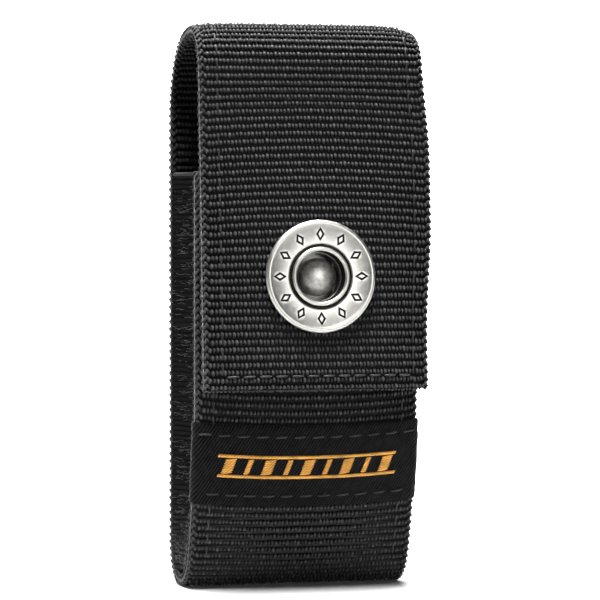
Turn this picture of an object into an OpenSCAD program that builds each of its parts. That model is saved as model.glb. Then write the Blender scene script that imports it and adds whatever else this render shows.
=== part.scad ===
// Belt sheath for a multi tool.
//
// One wide strip of heavy webbing, doubled by an inner strip, runs down the pocket's front,
// under its bottom, up its back, over an arched crown and down again as the flap. Two folded
// gussets close the pocket's sides. A ring snap closes the flap, and a webbing loop on the
// back takes a belt. Millimetres: +X right, -Y front, +Z up, and the lowest point is at z = 0.

/* [Webbing] */
// Width of the main strip (2 inch webbing)
webbing_w = 50.8; // [38:0.1:64]
// Thickness of one layer of webbing
webbing_t = 1.25; // [1:0.05:1.5]

/* [Pocket] */
// Depth of the pocket from the back panel's outer face to the front panel's outer face
pocket_depth = 26; // [22:0.1:32]
// Distance from the crown's start down to the pocket's mouth
mouth_drop = 12.1; // [8:0.1:20]
// Radius of the turns at the pocket's bottom
bottom_r = 10; // [8:0.1:10.4]
// How far the middle of the front panel bulges out
pocket_bulge = 2.4; // [1:0.1:3]
// Gap between the pocket's mouth and the closed flap's inside
mouth_gap = 2.1; // [0.5:0.1:4]

/* [Crown and flap] */
// Height where the back panel ends and the crown's arch begins
crown_z = 104.2; // [92:0.1:136]
// Outer radius of the crown's front turn
crown_front_r = 9.5; // [7:0.1:12]
// Angle by which the closed flap leans out from upright
flap_lean = 3.5; // [2:0.5:6]
// Distance from the snap down to the flap's lower edge
flap_below = 24.6; // [18:0.1:34]
// How far the middle of the flap bulges out
flap_bulge = 3.2; // [2:0.1:4]

/* [Gussets] */
// Thickness of a gusset
gusset_t = 1.1; // [0.8:0.1:1.5]
// How far each gusset folds into the pocket
gusset_fold = 6; // [3:0.5:7]
// Height of the gussets' lower ends above the inside of the pocket's bottom
gusset_foot = 0.6; // [0.3:0.1:2]

/* [Label] */
// Height of the label's lower edge
label_z = 19.6; // [14:0.1:24]
// Height of the label
label_h = 17.8; // [12:0.1:20]
// Distance from the label's ends to the woven motif
motif_side = 5.4; // [4:0.1:12]
// Height of the woven motif
motif_h = 5; // [3:0.1:6]
// Number of slanted bars in the motif
motif_bars = 9; // [5:2:13]

/* [Belt loop] */
// Width of the belt loop's webbing
loop_w = 38.1; // [25:0.1:50]
// Thickness of the belt loop's webbing
loop_t = 1.6; // [1.2:0.1:2]
// Clear space between the loop and the back panel
loop_gap = 5.4; // [5:0.1:8]
// Height of the loop's lower end
loop_z = 14; // [12:1:20]
// Distance from the crown's start down to the loop's upper end
loop_top = 5; // [3:1:20]
// Length of the loop that is sewn down at each end
loop_tab = 11; // [8:1:14]

/* [Snap] */
// Distance from the pocket's mouth down to the snap
snap_below = 23.1; // [20:0.1:34]
// Distance from the snap down to where the pocket's flat front starts to curve inwards
flat_below_snap = 23.1; // [12:0.1:30]
// Outer radius of the snap ring
ring_r = 12.25; // [11:0.05:13]
// Radius of the ring's open centre
eye_r = 5.5; // [4.6:0.05:6]
// Radius of the stud's head
stud_r = 4.1; // [3.9:0.05:4.2]
// Number of lozenges stamped round the ring
ring_marks = 12; // [8:1:16]

/* [Stitching] */
// Distance from the strip's edge to its edge stitching
stitch_inset = 4; // [3:0.1:6]
// Width of a line of stitching
stitch_w = 0.5; // [0.3:0.1:0.8]
// How far a line of stitching stands out from the cloth
stitch_t = 0.2; // [0.15:0.05:0.3]

/* [Clearances] */
// Gap between layers of cloth and between cloth and what is sewn or set on it
layer_gap = 0.1; // [0.05:0.05:0.2]
// Gap in the strip where one body turns on the next
fold_gap = 0.3; // [0.2:0.1:0.5]

/* [Hidden] */

half_w = webbing_w / 2;
lining_out = -webbing_t - layer_gap;        // the lining's outer face, below the strip's outer face
wall_t = 2 * webbing_t + layer_gap;         // both layers together
binding_len = 1;                            // the folded end that closes both layers
columns = 16;                               // facets across the strip
row_len = 4;                                // longest facet along the strip
row_turn = 9;                               // largest turn between two rows of facets
bulge_power = 3;                            // flatter in the middle than a parabola

// ---- The strip's outer face, seen from the side: d is the depth in front of the back
// panel's outer face and z is the height. Each run is [length, turn], and turns are to the
// right, so the strip's outer side is always on the left.
rad = PI / 180;
mouth_z = crown_z - mouth_drop;
snap_z = mouth_z - snap_below;
flap_edge_z = snap_z - flap_below;
// The pocket's front: flat behind the snap, then a large turn, and the small turn at the bottom.
front_foot_z = snap_z - flat_below_snap;
front_rise = 2 * atan((front_foot_z - bottom_r) / (pocket_depth - 2 * bottom_r)) - 90;
front_turn = 90 - front_rise;
front_r = (pocket_depth - bottom_r * (1 + sin(front_rise))) / (1 - sin(front_rise));
// The rear arch's outer radius: the flap that it holds clears the pocket's mouth in the middle,
// where both bulge. The flap's bulge there depends on the radius, so it is worked out in turns.
function arch_r(r, turns) =
    let (
        end_z = crown_z + r - crown_front_r * (1 - sin(flap_lean)),
        flap_bulge_there = flap_bulge * ease((end_z - mouth_z) / (end_z - snap_z)),
        edge_gap = mouth_gap + max(0, pocket_bulge - flap_bulge_there)
    )
    turns == 0 ? r : arch_r(pocket_depth + edge_gap + wall_t / cos(flap_lean)
        - (end_z - mouth_z) * tan(flap_lean) - crown_front_r * cos(flap_lean), turns - 1);
crown_r = arch_r(pocket_depth - crown_front_r, 12);
crown_top_z = crown_z + crown_r;
crown_end = [crown_r + crown_front_r * cos(flap_lean),
             crown_top_z - crown_front_r * (1 - sin(flap_lean))];
flap_len = (crown_end[1] - flap_edge_z) / cos(flap_lean);

pocket_runs = [
    [mouth_z - front_foot_z, 0],
    [front_r * front_turn * rad, front_turn],
    [bottom_r * front_rise * rad, front_rise],
    [bottom_r * 90 * rad, 90],
    [crown_z - bottom_r, 0],
];
crown_runs = [
    [crown_r * 90 * rad, 90],
    [crown_front_r * (90 - flap_lean) * rad, 90 - flap_lean],
];
flap_runs = [[flap_len, 0]];
RUNS = concat(pocket_runs, crown_runs, flap_runs);

function sum_to(list, n, i = 0) = i >= n ? 0 : list[i][0] + sum_to(list, n, i + 1);
pocket_end = sum_to(RUNS, 5);
crown_end_s = sum_to(RUNS, 7);
flap_end = sum_to(RUNS, 8);

// Where a run that starts at [d, z, heading] gets to after length l of it.
function step(at, run, l) =
    let (turn = run[1] * l / run[0], h = at[2])
    run[1] == 0
        ? [at[0] + l * cos(h), at[1] + l * sin(h), h]
        : let (r = run[0] / (run[1] * rad))
          [at[0] + r * (sin(h) - sin(h - turn)), at[1] + r * (cos(h - turn) - cos(h)), h - turn];

// [d, z, heading] at distance s along the strip's outer face from the mouth.
function along(s, i = 0, at = [pocket_depth, mouth_z, -90]) =
    s <= RUNS[i][0] || i == len(RUNS) - 1
        ? step(at, RUNS[i], s)
        : along(s - RUNS[i][0], i + 1, step(at, RUNS[i], RUNS[i][0]));

function ease(v) = let (c = min(1, max(0, v))) c * c * (3 - 2 * c);

// The bulge in the middle of the strip at distance s: it fades out below the front panel's
// foot, and grows down the flap from the crown to the snap.
front_len = sum_to(RUNS, 2);
snap_len = (crown_end[1] - snap_z) / cos(flap_lean);
function bulge(s) =
    s < front_len ? pocket_bulge * ease((front_len - s) / RUNS[1][0])
    : s > crown_end_s ? flap_bulge * ease((s - crown_end_s) / snap_len)
    : 0;

// Depth and height of the strip at distance s, x from its middle and t outside its face.
function profile(s, x, t) =
    let (a = along(s), out = t + bulge(s) * (1 - pow(min(1, abs(x) / half_w), bulge_power)))
    [a[0] - out * sin(a[2]), a[1] + out * cos(a[2])];

// The middle of the whole depth, from the belt loop to the flap or the snap ring's lower rim,
// is put at y = 0.
seat = 0.05;                                // hard parts clear the cloth by this
rim_r = 0.75;
flap_face = profile(crown_end_s + snap_len, 0, 0);
front_face = profile(mouth_z - snap_z, 0, 0);
rim_reach = flap_face[0] + (seat + rim_r) * cos(flap_lean) + (ring_r - rim_r) * sin(flap_lean)
    + rim_r;
front_reach = max(profile(flap_end, 0, 0)[0], rim_reach);
loop_reach = layer_gap + loop_gap + loop_t;
y_shift = (front_reach - loop_reach) / 2;
function place(s, x, t) = let (p = profile(s, x, t)) [x, y_shift - p[0], p[1]];

// The stations of the rows between s0 and s1, with one at each end of every run.
function run_rows(s0, s1, i = 0, start = 0) =
    i == len(RUNS) ? []
    : let (
        a = max(s0, start), b = min(s1, start + RUNS[i][0]), share = (b - a) / RUNS[i][0],
        flat = i == 4,
        n = flat ? 1 : ceil(max((b - a) / row_len, RUNS[i][1] * share / row_turn))
    )
    concat(b - a > 0.001 ? [for (k = [0 : n - 1]) a + (b - a) * k / n] : [],
        run_rows(s0, s1, i + 1, start + RUNS[i][0]));
function rows(s0, s1) = concat(run_rows(s0, s1), [s1]);
function spread(a, b, n) = [for (k = [0 : n]) a + (b - a) * k / n];

// A closed solid from two grids of points, inner first, each with nr rows of nc points.
module grid_solid(inner, outer, nr, nc) {
    base = nr * nc;
    function cell(o, r, c) = o + r * nc + c;
    function quad(a, b, c, d) = [[a, b, c], [a, c, d]];
    polyhedron(concat(inner, outer), [
        for (r = [0 : nr - 2], c = [0 : nc - 2]) each concat(
            quad(cell(0, r, c), cell(0, r + 1, c), cell(0, r + 1, c + 1), cell(0, r, c + 1)),
            quad(cell(base, r, c), cell(base, r, c + 1),
                cell(base, r + 1, c + 1), cell(base, r + 1, c))),
        for (r = [0 : nr - 2]) each concat(
            quad(cell(0, r, 0), cell(base, r, 0), cell(base, r + 1, 0), cell(0, r + 1, 0)),
            quad(cell(0, r, nc - 1), cell(0, r + 1, nc - 1),
                cell(base, r + 1, nc - 1), cell(base, r, nc - 1))),
        for (c = [0 : nc - 2]) each concat(
            quad(cell(0, 0, c), cell(0, 0, c + 1), cell(base, 0, c + 1), cell(base, 0, c)),
            quad(cell(0, nr - 1, c), cell(base, nr - 1, c),
                cell(base, nr - 1, c + 1), cell(0, nr - 1, c + 1))),
    ]);
}

// A layer of cloth on the strip from s0 to s1, from x0 to x1, and from t0 to t1 outside it.
module cloth(s0, s1, x0, x1, t0, t1, n = columns) {
    ss = rows(s0, s1);
    xs = spread(x0, x1, n);
    grid_solid([for (s = ss, x = xs) place(s, x, t0)], [for (s = ss, x = xs) place(s, x, t1)],
        len(ss), n + 1);
}

// A line of stitching along the strip at x, and one across it at s.
module seam(s0, s1, x) {
    cloth(s0, s1, x - stitch_w / 2, x + stitch_w / 2, stitch_lift, stitch_lift + stitch_t, 1);
}
module cross_seam(s, lift = stitch_lift) {
    cloth(s - stitch_w / 2, s + stitch_w / 2, -seam_x + stitch_w, seam_x - stitch_w,
        lift, lift + stitch_t);
}
stitch_lift = 0.02;
seam_x = half_w - stitch_inset;
seam_end = 1;                               // stitching stops this short of a fold

// ---- Places along the strip.
label_t = 0.35;
label_lift = 0.05;
label_s0 = s_at(label_z + label_h);
label_s1 = s_at(label_z);
bottom_start = sum_to(RUNS, 2) + 2;
back_start = sum_to(RUNS, 4);
// Distance along the front panel at which its outer face is at height z.
function s_at(z) =
    z > front_foot_z ? mouth_z - z
    : mouth_z - front_foot_z + front_r * asin((front_foot_z - z) / front_r) * rad;

// ---- The snap. Its parts on the flap are drawn round +Z and set on the flap's face; the
// stud's parts are set on the front panel.
hole_clear = 0.15;
barrel_t = 0.4;
barrel_r = eye_r + barrel_t;
ring_h = 1.5;
ring_flange_t = 0.45;
socket_t = 1.25;
socket_r = eye_r + 3.1;
socket_eye_r = eye_r - 0.3;
seat_dish = 0.25;                           // more than seat, where the cloth curves away
// The socket's rim clears the flap's inside, which curves in above the snap.
socket_back = wall_t + seat + flap_bulge - bulge(crown_end_s + snap_len - socket_r);
stud_flange_t = 0.7;
stud_flange_r = 6.5;
neck_r = stud_r - 0.6;
// The stud's neck is as long as the flap stands off the front panel, less what its flange takes
// and its head's reach behind the flap.
neck_less = 1.55;
neck_len = flap_face[0] - front_face[0] - wall_t - neck_less;
head_len = 1.8;
dome_h = 1.6;
shank_r = 1.9;
rivet_t = 0.6;
rivet_r = 5.5;
spring_wire_r = 0.25;
spring_leg_x = neck_r + 0.2 + spring_wire_r;
spring_arc_r = eye_r + 0.35;

module on_flap() {
    translate([0, y_shift - flap_face[0], flap_face[1]])
        rotate([90 - flap_lean, 0, 0])
            children();
}
// The stud's axis meets the flap's snap axis at the middle of the stud's head.
stud_mid_d = front_face[0] + seat + stud_flange_t + neck_len + head_len / 2;
stud_z = flap_face[1] - (flap_face[0] - stud_mid_d) * tan(flap_lean);
module on_front() {
    translate([0, y_shift - front_face[0], stud_z]) rotate([90, 0, 0]) children();
}
module tube(r_in, r_out, z0, z1) {
    translate([0, 0, z0]) difference() {
        cylinder(r = r_out, h = z1 - z0, $fn = 72);
        translate([0, 0, -1]) cylinder(r = r_in, h = z1 - z0 + 2, $fn = 72);
    }
}

// ---- Pocket

webbing_colour = [0.09, 0.09, 0.1];
lining_colour = [0.13, 0.13, 0.14];
thread_colour = [0.3, 0.3, 0.32];
snap_colour = [0.78, 0.77, 0.74];

// The doubled strip's outer layer, with the hole for the stud's shank.
module pocket_webbing() color(webbing_colour) difference() {
    cloth(binding_len, pocket_end, -half_w, half_w, -webbing_t, 0);
    on_front() translate([0, 0, -20]) cylinder(r = shank_r + hole_clear, h = 25, $fn = 48);
}
module pocket_lining() color(lining_colour) difference() {
    cloth(binding_len, pocket_end, -half_w, half_w, -wall_t, lining_out);
    on_front() translate([0, 0, -20]) cylinder(r = shank_r + hole_clear, h = 25, $fn = 48);
}
// The folded end that closes both layers at the mouth.
module pocket_mouth_binding() color(webbing_colour)
    cloth(0, binding_len - 0.02, -half_w, half_w, -wall_t, 0);
module pocket_front_stitching() color(thread_colour) for (side = [-1, 1]) {
    seam(binding_len + 1, label_s0 - 0.3, side * seam_x);
    seam(label_s1 + 0.3, bottom_start, side * seam_x);
}
module pocket_back_stitching() color(thread_colour) for (side = [-1, 1])
    seam(back_start, pocket_end - seam_end, side * seam_x);

// ---- Gussets: a strip folded inward between the front and back panels' edges, which runs down
// into the pocket's bottom and closes its sides.
gusset_clear = 0.15;
gusset_inset = 0.4;                         // from the strip's selvage to the gusset's edge
gusset_rows = 18;
gusset_cols = 12;
gusset_top = mouth_z;
gusset_low = gusset_foot + wall_t + gusset_clear;
fold_rise = 26;                             // the fold deepens over this height
function fold_at(z) = gusset_fold * (0.15 + 0.85 * ease((z - gusset_low) / fold_rise));
// Depth of the room between the inner faces at height z, at the back and at the front.
room_r = bottom_r - wall_t - gusset_clear;
front_room_r = front_r - wall_t - gusset_clear;
turn_z = bottom_r - room_r * cos(front_rise);
function turn_chord(z) = sqrt(max(0, pow(room_r, 2) - pow(bottom_r - z, 2)));
function room_back(z) = z > bottom_r ? bottom_r - room_r : bottom_r - turn_chord(z);
function room_front(z) =
    z > front_foot_z ? pocket_depth - wall_t - gusset_clear
    : z > turn_z ? pocket_depth - front_r + sqrt(pow(front_room_r, 2) - pow(front_foot_z - z, 2))
    : bottom_r + turn_chord(z);
// Across the fold u runs from 0 at the back panel to 1 at the front panel.
function gusset_point(side, u, z, inward) =
    let (x = half_w - gusset_inset - inward - fold_at(z) * sin(180 * u))
    [side * x, y_shift - room_back(z) - (room_front(z) - room_back(z)) * u, z];
module gusset(side, zs, in0, in1) {
    us = spread(0, 1, gusset_cols);
    inner = [for (z = zs, u = us) gusset_point(side, u, z, in1)];
    outer = [for (z = zs, u = us) gusset_point(side, u, z, in0)];
    if (side > 0)
        grid_solid(inner, outer, len(zs), len(us));
    else
        grid_solid(outer, inner, len(zs), len(us));
}
// Heights of the gusset's rows, closer together in the pocket's rounded bottom.
function gusset_heights() = concat(
    spread(gusset_low, bottom_r, 5),
    spread(bottom_r + 3, gusset_top - binding_len, gusset_rows));
module gusset_left() color(lining_colour) gusset(-1, gusset_heights(), 0, gusset_t);
module gusset_right() color(lining_colour) gusset(1, gusset_heights(), 0, gusset_t);
// The turned-over top edges of the gussets.
module gusset_binding(side) color(webbing_colour)
    gusset(side, [gusset_top - binding_len + 0.02, gusset_top], -0.15, gusset_t + 0.15);
module gusset_binding_left() gusset_binding(-1);
module gusset_binding_right() gusset_binding(1);

// ---- Label: a woven patch with a generic motif of slanted bars between two rules.
module label_patch() color([0.1, 0.1, 0.11])
    cloth(label_s0, label_s1, -half_w, half_w, label_lift, label_lift + label_t);
motif_t = 0.12;
motif_lift = label_lift + label_t + 0.02;
motif_mid = (label_s0 + label_s1) / 2;
motif_w = webbing_w - 2 * motif_side;
bar_pitch = motif_w / motif_bars;
bar_slant = 0.35;
rule_h = 0.7;
module motif_strip(s0, s1, x0, x1, slant, n) {
    ss = rows(s0, s1);
    grid_solid(
        [for (s = ss, x = spread(x0, x1, n)) place(s, x - slant * (s - motif_mid), motif_lift)],
        [for (s = ss, x = spread(x0, x1, n))
            place(s, x - slant * (s - motif_mid), motif_lift + motif_t)],
        len(ss), n + 1);
}
module label_motif() color([0.94, 0.66, 0.24]) {
    for (k = [0 : motif_bars - 1]) {
        x = -motif_w / 2 + bar_pitch * (k + 0.5);
        bar = bar_pitch * (k % 2 == 0 ? 0.62 : 0.3);
        motif_strip(motif_mid - motif_h / 2 + 2 * rule_h, motif_mid + motif_h / 2 - 2 * rule_h,
            x - bar / 2, x + bar / 2, bar_slant, 2);
    }
    for (side = [-1, 1]) {
        s = motif_mid + side * (motif_h - rule_h) / 2;
        motif_strip(s - rule_h / 2, s + rule_h / 2, -motif_w / 2, motif_w / 2, 0, columns);
    }
}
label_row = 2.4;                            // from the label's edges to its rows of stitches
module label_stitching() color(thread_colour)
    for (s = [label_s0 + label_row, label_s1 - label_row])
        cross_seam(s, label_lift + label_t + 0.02);

// ---- Belt loop: a strip sewn down at both ends and standing off the back between them.
bend_r = 3.5;
bend_turn = 62;
bend_mid_r = bend_r + loop_t / 2;
slope_len = (loop_gap - 2 * bend_mid_r * (1 - cos(bend_turn))) / sin(bend_turn);
bend_rise = 2 * bend_mid_r * sin(bend_turn) + slope_len * cos(bend_turn);
// The loop's lower half as an outline of its middle line: [distance behind the back, z, heading].
function bend_points(out) = [
    for (a = [0 : bend_turn / 6 : bend_turn])
        [bend_mid_r * (1 - cos(a)) + out * cos(a), bend_mid_r * sin(a) - out * sin(a)],
    for (a = [bend_turn : -bend_turn / 6 : 0])
        [loop_gap - bend_mid_r * (1 - cos(a)) + out * cos(a),
         bend_rise - bend_mid_r * sin(a) - out * sin(a)],
];
function half_loop(out) = concat([[out, -loop_tab]], bend_points(out));
function moved(points, dy, dz, sign) = [for (p = points) [p[0] + dy, dz + sign * p[1]]];
function reversed(list) = [for (i = [len(list) - 1 : -1 : 0]) list[i]];
loop_low = loop_z + loop_tab;
loop_end_z = crown_z - loop_top;
loop_high = loop_end_z - loop_tab;
loop_mid_y = layer_gap + loop_t / 2;
module belt_loop() color(webbing_colour)
    translate([-loop_w / 2, y_shift, 0]) rotate([90, 0, 90])
        linear_extrude(loop_w) polygon(concat(
            moved(half_loop(-loop_t / 2), loop_mid_y, loop_low, 1),
            reversed(moved(half_loop(-loop_t / 2), loop_mid_y, loop_high, -1)),
            moved(half_loop(loop_t / 2), loop_mid_y, loop_high, -1),
            reversed(moved(half_loop(loop_t / 2), loop_mid_y, loop_low, 1))));
// A box of stitches with a cross in it, on a sewn-down end whose middle is at height z.
module box_stitch(z) color(thread_colour) {
    w = loop_w - 6;
    h = loop_tab - 3.5;
    angle = atan2(h, w);
    translate([0, y_shift + layer_gap + loop_t + stitch_lift + stitch_t / 2, z]) {
        for (side = [-1, 1]) {
            translate([0, 0, side * h / 2]) cube([w, stitch_t, stitch_w], center = true);
            translate([side * w / 2, 0, 0]) cube([stitch_w, stitch_t, h], center = true);
            rotate([0, side * angle, 0])
                cube([norm([w, h]), stitch_t, stitch_w], center = true);
        }
    }
}
module loop_stitching_bottom() box_stitch(loop_z + loop_tab / 2);
module loop_stitching_top() box_stitch(loop_end_z - loop_tab / 2);

// ---- Stud on the front panel
module snap_stud() color([0.5, 0.49, 0.46]) on_front()
    translate([0, 0, seat]) rotate_extrude($fn = 72) {
        base = stud_flange_t + 0.02;
        top = base + neck_len + head_len;
        dome_r = (pow(stud_r, 2) + pow(dome_h, 2)) / (2 * dome_h);
        polygon([[0, base], [neck_r, base], [neck_r, base + neck_len], [stud_r, base + neck_len
            + 0.4], [stud_r, top], [0, top]]);
        intersection() {
            translate([0, top + dome_h - dome_r]) circle(dome_r, $fn = 96);
            translate([0, top]) square([stud_r, dome_h + 1]);
        }
    }
module stud_flange() color(snap_colour) on_front()
    translate([0, 0, seat]) cylinder(r = stud_flange_r, h = stud_flange_t, $fn = 72);
// The shank through both layers and its washer inside the pocket.
module stud_rivet() color(snap_colour) on_front() {
    translate([0, 0, -wall_t - seat_dish]) cylinder(r = shank_r, h = wall_t + seat_dish, $fn = 48);
    translate([0, 0, -wall_t - seat_dish - rivet_t]) cylinder(r = rivet_r, h = rivet_t, $fn = 72);
}

// ---- Crown
module crown_webbing() color(webbing_colour)
    cloth(pocket_end + fold_gap, crown_end_s, -half_w, half_w, -webbing_t, 0);
module crown_lining() color(lining_colour)
    cloth(pocket_end + fold_gap, crown_end_s, -half_w, half_w, -wall_t, lining_out);
module crown_stitching() color(thread_colour) for (side = [-1, 1])
    seam(pocket_end + seam_end, crown_end_s - seam_end, side * seam_x);

// ---- Flap
module eye_hole() on_flap()
    translate([0, 0, -10]) cylinder(r = barrel_r + hole_clear, h = 20, $fn = 72);
module flap_webbing() color(webbing_colour) difference() {
    cloth(crown_end_s + fold_gap, flap_end - binding_len, -half_w, half_w, -webbing_t, 0);
    eye_hole();
}
module flap_lining() color(lining_colour) difference() {
    cloth(crown_end_s + fold_gap, flap_end - binding_len, -half_w, half_w, -wall_t, lining_out);
    eye_hole();
}
// The folded end that closes both layers at the flap's lower edge.
module flap_hem() color(webbing_colour)
    cloth(flap_end - binding_len + 0.02, flap_end, -half_w, half_w, -wall_t, 0);
hem_row = 3.3;                              // from the flap's edge to its row of stitches
module flap_stitching() color(thread_colour) for (side = [-1, 1])
    seam(crown_end_s + seam_end, flap_end - binding_len - 0.5, side * seam_x);
module hem_stitching() color(thread_colour) cross_seam(flap_end - hem_row);

// ---- Ring snap on the flap
// The stamped ring, with a rolled outer rim and lozenges sunk in its dished face.
module snap_ring() color(snap_colour) on_flap() translate([0, 0, seat]) difference() {
    rotate_extrude($fn = 96) {
        rim_x = ring_r - rim_r;
        polygon([[barrel_r + 0.1, 0], [rim_x, 0], [rim_x, 1.35], [rim_x - 0.6, 1.2],
            [barrel_r + 1, 0.85], [barrel_r + 0.8, ring_flange_t], [barrel_r + 0.1, ring_flange_t]]);
        translate([rim_x, rim_r]) circle(rim_r, $fn = 48);
    }
    for (k = [0 : ring_marks - 1])
        rotate(360 / ring_marks * k) translate([(barrel_r + ring_r) / 2 + 0.1, 0, 0.8])
            scale([1, 0.55, 1]) cylinder(r = 1.5, h = 2, $fn = 4);
}
// The eyelet's barrel through the flap, with its rolled front lip.
module snap_eyelet() color(snap_colour) on_flap() translate([0, 0, seat])
    rotate_extrude($fn = 96) {
        translate([eye_r, -wall_t]) square([barrel_t, wall_t + 1.1]);
        translate([eye_r + 0.45, 1.1]) circle(0.45, $fn = 32);
    }
// The socket behind the flap: a collar inside the barrel and a groove for the spring.
module snap_socket() color(snap_colour) on_flap() translate([0, 0, -socket_back])
    rotate_extrude($fn = 96) {
        groove_r = eye_r + 0.85;
        polygon([[socket_eye_r, -socket_t], [socket_r, -socket_t], [socket_r, 0],
            [socket_eye_r + 0.2, 0], [socket_eye_r + 0.2, 1.3], [socket_eye_r, 1.3],
            [socket_eye_r, -0.25], [groove_r, -0.25], [groove_r, -0.95], [socket_eye_r, -0.95]]);
    }
// The wire spring: two legs that grip the stud's neck, joined by arcs in the groove.
module snap_spring() color([0.6, 0.6, 0.6]) on_flap() translate([0, 0, -socket_back - 0.6]) {
    leg_end = acos(spring_leg_x / spring_arc_r);
    leg_half = spring_arc_r * sin(leg_end);
    for (side = [-1, 1]) {
        translate([side * spring_leg_x, 0, 0]) rotate([90, 0, 0])
            cylinder(r = spring_wire_r, h = 2 * leg_half, center = true, $fn = 24);
        rotate(side * 90 - 90 + leg_end)
            rotate_extrude(angle = 180 - 2 * leg_end, $fn = 72)
                translate([spring_arc_r, 0]) circle(spring_wire_r, $fn = 24);
    }
}

pocket_webbing();
pocket_lining();
pocket_mouth_binding();
pocket_front_stitching();
pocket_back_stitching();
gusset_left();
gusset_right();
gusset_binding_left();
gusset_binding_right();
label_patch();
label_motif();
label_stitching();
belt_loop();
loop_stitching_top();
loop_stitching_bottom();
snap_stud();
stud_flange();
stud_rivet();
crown_webbing();
crown_lining();
crown_stitching();
flap_webbing();
flap_lining();
flap_hem();
flap_stitching();
hem_stitching();
snap_ring();
snap_eyelet();
snap_socket();
snap_spring();
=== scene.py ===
# %% [markdown]
# # A belt sheath for a multi tool
# The sheath is one long strip of heavy black webbing, doubled, that runs down the pocket's front,
# under its bottom, up its back, over an arched crown and down again as a flap with a ring snap.
# The frame comes first: it holds the rigid parts and the places that every soft piece follows.

# %% Load the frame
import math

import bpy
import numpy as np
from mathutils import Matrix, Vector


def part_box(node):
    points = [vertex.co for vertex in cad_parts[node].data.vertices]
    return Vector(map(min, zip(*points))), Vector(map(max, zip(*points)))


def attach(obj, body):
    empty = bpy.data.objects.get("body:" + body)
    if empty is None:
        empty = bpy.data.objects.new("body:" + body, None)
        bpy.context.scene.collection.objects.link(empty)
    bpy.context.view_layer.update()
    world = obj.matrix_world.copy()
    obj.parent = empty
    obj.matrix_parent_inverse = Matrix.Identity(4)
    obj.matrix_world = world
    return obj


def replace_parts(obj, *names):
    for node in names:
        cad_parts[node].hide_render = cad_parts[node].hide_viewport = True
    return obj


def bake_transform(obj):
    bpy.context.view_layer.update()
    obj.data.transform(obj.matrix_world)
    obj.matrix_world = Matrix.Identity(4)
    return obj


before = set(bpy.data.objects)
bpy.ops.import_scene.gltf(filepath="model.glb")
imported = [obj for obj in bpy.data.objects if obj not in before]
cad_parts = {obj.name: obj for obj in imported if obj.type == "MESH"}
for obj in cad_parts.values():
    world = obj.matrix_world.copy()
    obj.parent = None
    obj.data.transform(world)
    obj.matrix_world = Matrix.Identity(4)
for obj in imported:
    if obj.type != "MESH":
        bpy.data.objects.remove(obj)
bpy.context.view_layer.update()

MM = 0.001

# %% [markdown]
# ## The strip's route
# Everything sewn on this sheath lies on one strip, so its route is worked out once. Seen from the
# side the strip's outer face is a chain of straight runs and arcs. A distance along it, `s`,
# starts at the pocket's mouth in front and ends at the flap's lower edge. Heights and widths come
# from the frame, and the few radii are the webbing's own bends.

# %% Sizes
def low_high(node):
    low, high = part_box(node)
    return np.array(low), np.array(high)


strip_high = low_high("pocket_webbing")[1]
HALF_W = strip_high[0]                       # half the strip's width
BACK_Y = strip_high[1]                       # the back panel's outer face
CROWN_Z = strip_high[2]                      # where the back panel becomes the crown
MOUTH_Z = low_high("pocket_mouth_binding")[1][2]
FLAP_EDGE_Z = low_high("flap_hem")[0][2]
POCKET_DEPTH = 26 * MM                       # from the back panel to the pocket's front
BOTTOM_R = 10 * MM
POCKET_BULGE = 2.4 * MM
CROWN_R = low_high("crown_webbing")[1][2] - CROWN_Z
CROWN_FRONT_R = 9.5 * MM
FLAP_LEAN = math.radians(3.5)
FLAP_BULGE = 3.2 * MM
LAYER = 1.25 * MM                            # one layer of webbing
WALL = 2.6 * MM                              # both layers
BULGE_POWER = 3
RIGHT_ANGLE = math.pi / 2
print("half width, back, crown, mouth", HALF_W, BACK_Y, CROWN_Z, MOUTH_Z)

# %% The runs of the strip, each a length and a turn
SNAP_BELOW_MOUTH = 23.1 * MM
FLAT_BELOW_SNAP = 23.1 * MM                  # the flat front goes on this far below the snap
SNAP_Z = MOUTH_Z - SNAP_BELOW_MOUTH
front_foot_z = SNAP_Z - FLAT_BELOW_SNAP
FRONT_RISE = 2 * math.atan2(front_foot_z - BOTTOM_R, POCKET_DEPTH - 2 * BOTTOM_R) - RIGHT_ANGLE
front_r = (POCKET_DEPTH - BOTTOM_R * (1 + math.sin(FRONT_RISE))) / (1 - math.sin(FRONT_RISE))
crown_end_z = CROWN_Z + CROWN_R - CROWN_FRONT_R * (1 - math.sin(FLAP_LEAN))
flap_len = (crown_end_z - FLAP_EDGE_Z) / math.cos(FLAP_LEAN)
STRIP_RUNS = [
    (MOUTH_Z - front_foot_z, 0),
    (front_r * (RIGHT_ANGLE - FRONT_RISE), RIGHT_ANGLE - FRONT_RISE),
    (BOTTOM_R * FRONT_RISE, FRONT_RISE),
    (BOTTOM_R * RIGHT_ANGLE, RIGHT_ANGLE),
    (CROWN_Z - BOTTOM_R, 0),
    (CROWN_R * RIGHT_ANGLE, RIGHT_ANGLE),
    (CROWN_FRONT_R * (RIGHT_ANGLE - FLAP_LEAN), RIGHT_ANGLE - FLAP_LEAN),
    (flap_len, 0),
]
STRIP_START = (POCKET_DEPTH, MOUTH_Z, -RIGHT_ANGLE)


def run_ends(runs):
    return np.concatenate([[0], np.cumsum([length for length, _ in runs])])


ends = run_ends(STRIP_RUNS)
FRONT_LEN, LOWEST = ends[2], ends[3]
CROWN_TOP, CROWN_END, FLAP_END = ends[6], ends[7], ends[8]
SNAP_S = CROWN_END + (crown_end_z - SNAP_Z) / math.cos(FLAP_LEAN)
print("strip length", round(FLAP_END, 4))


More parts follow.
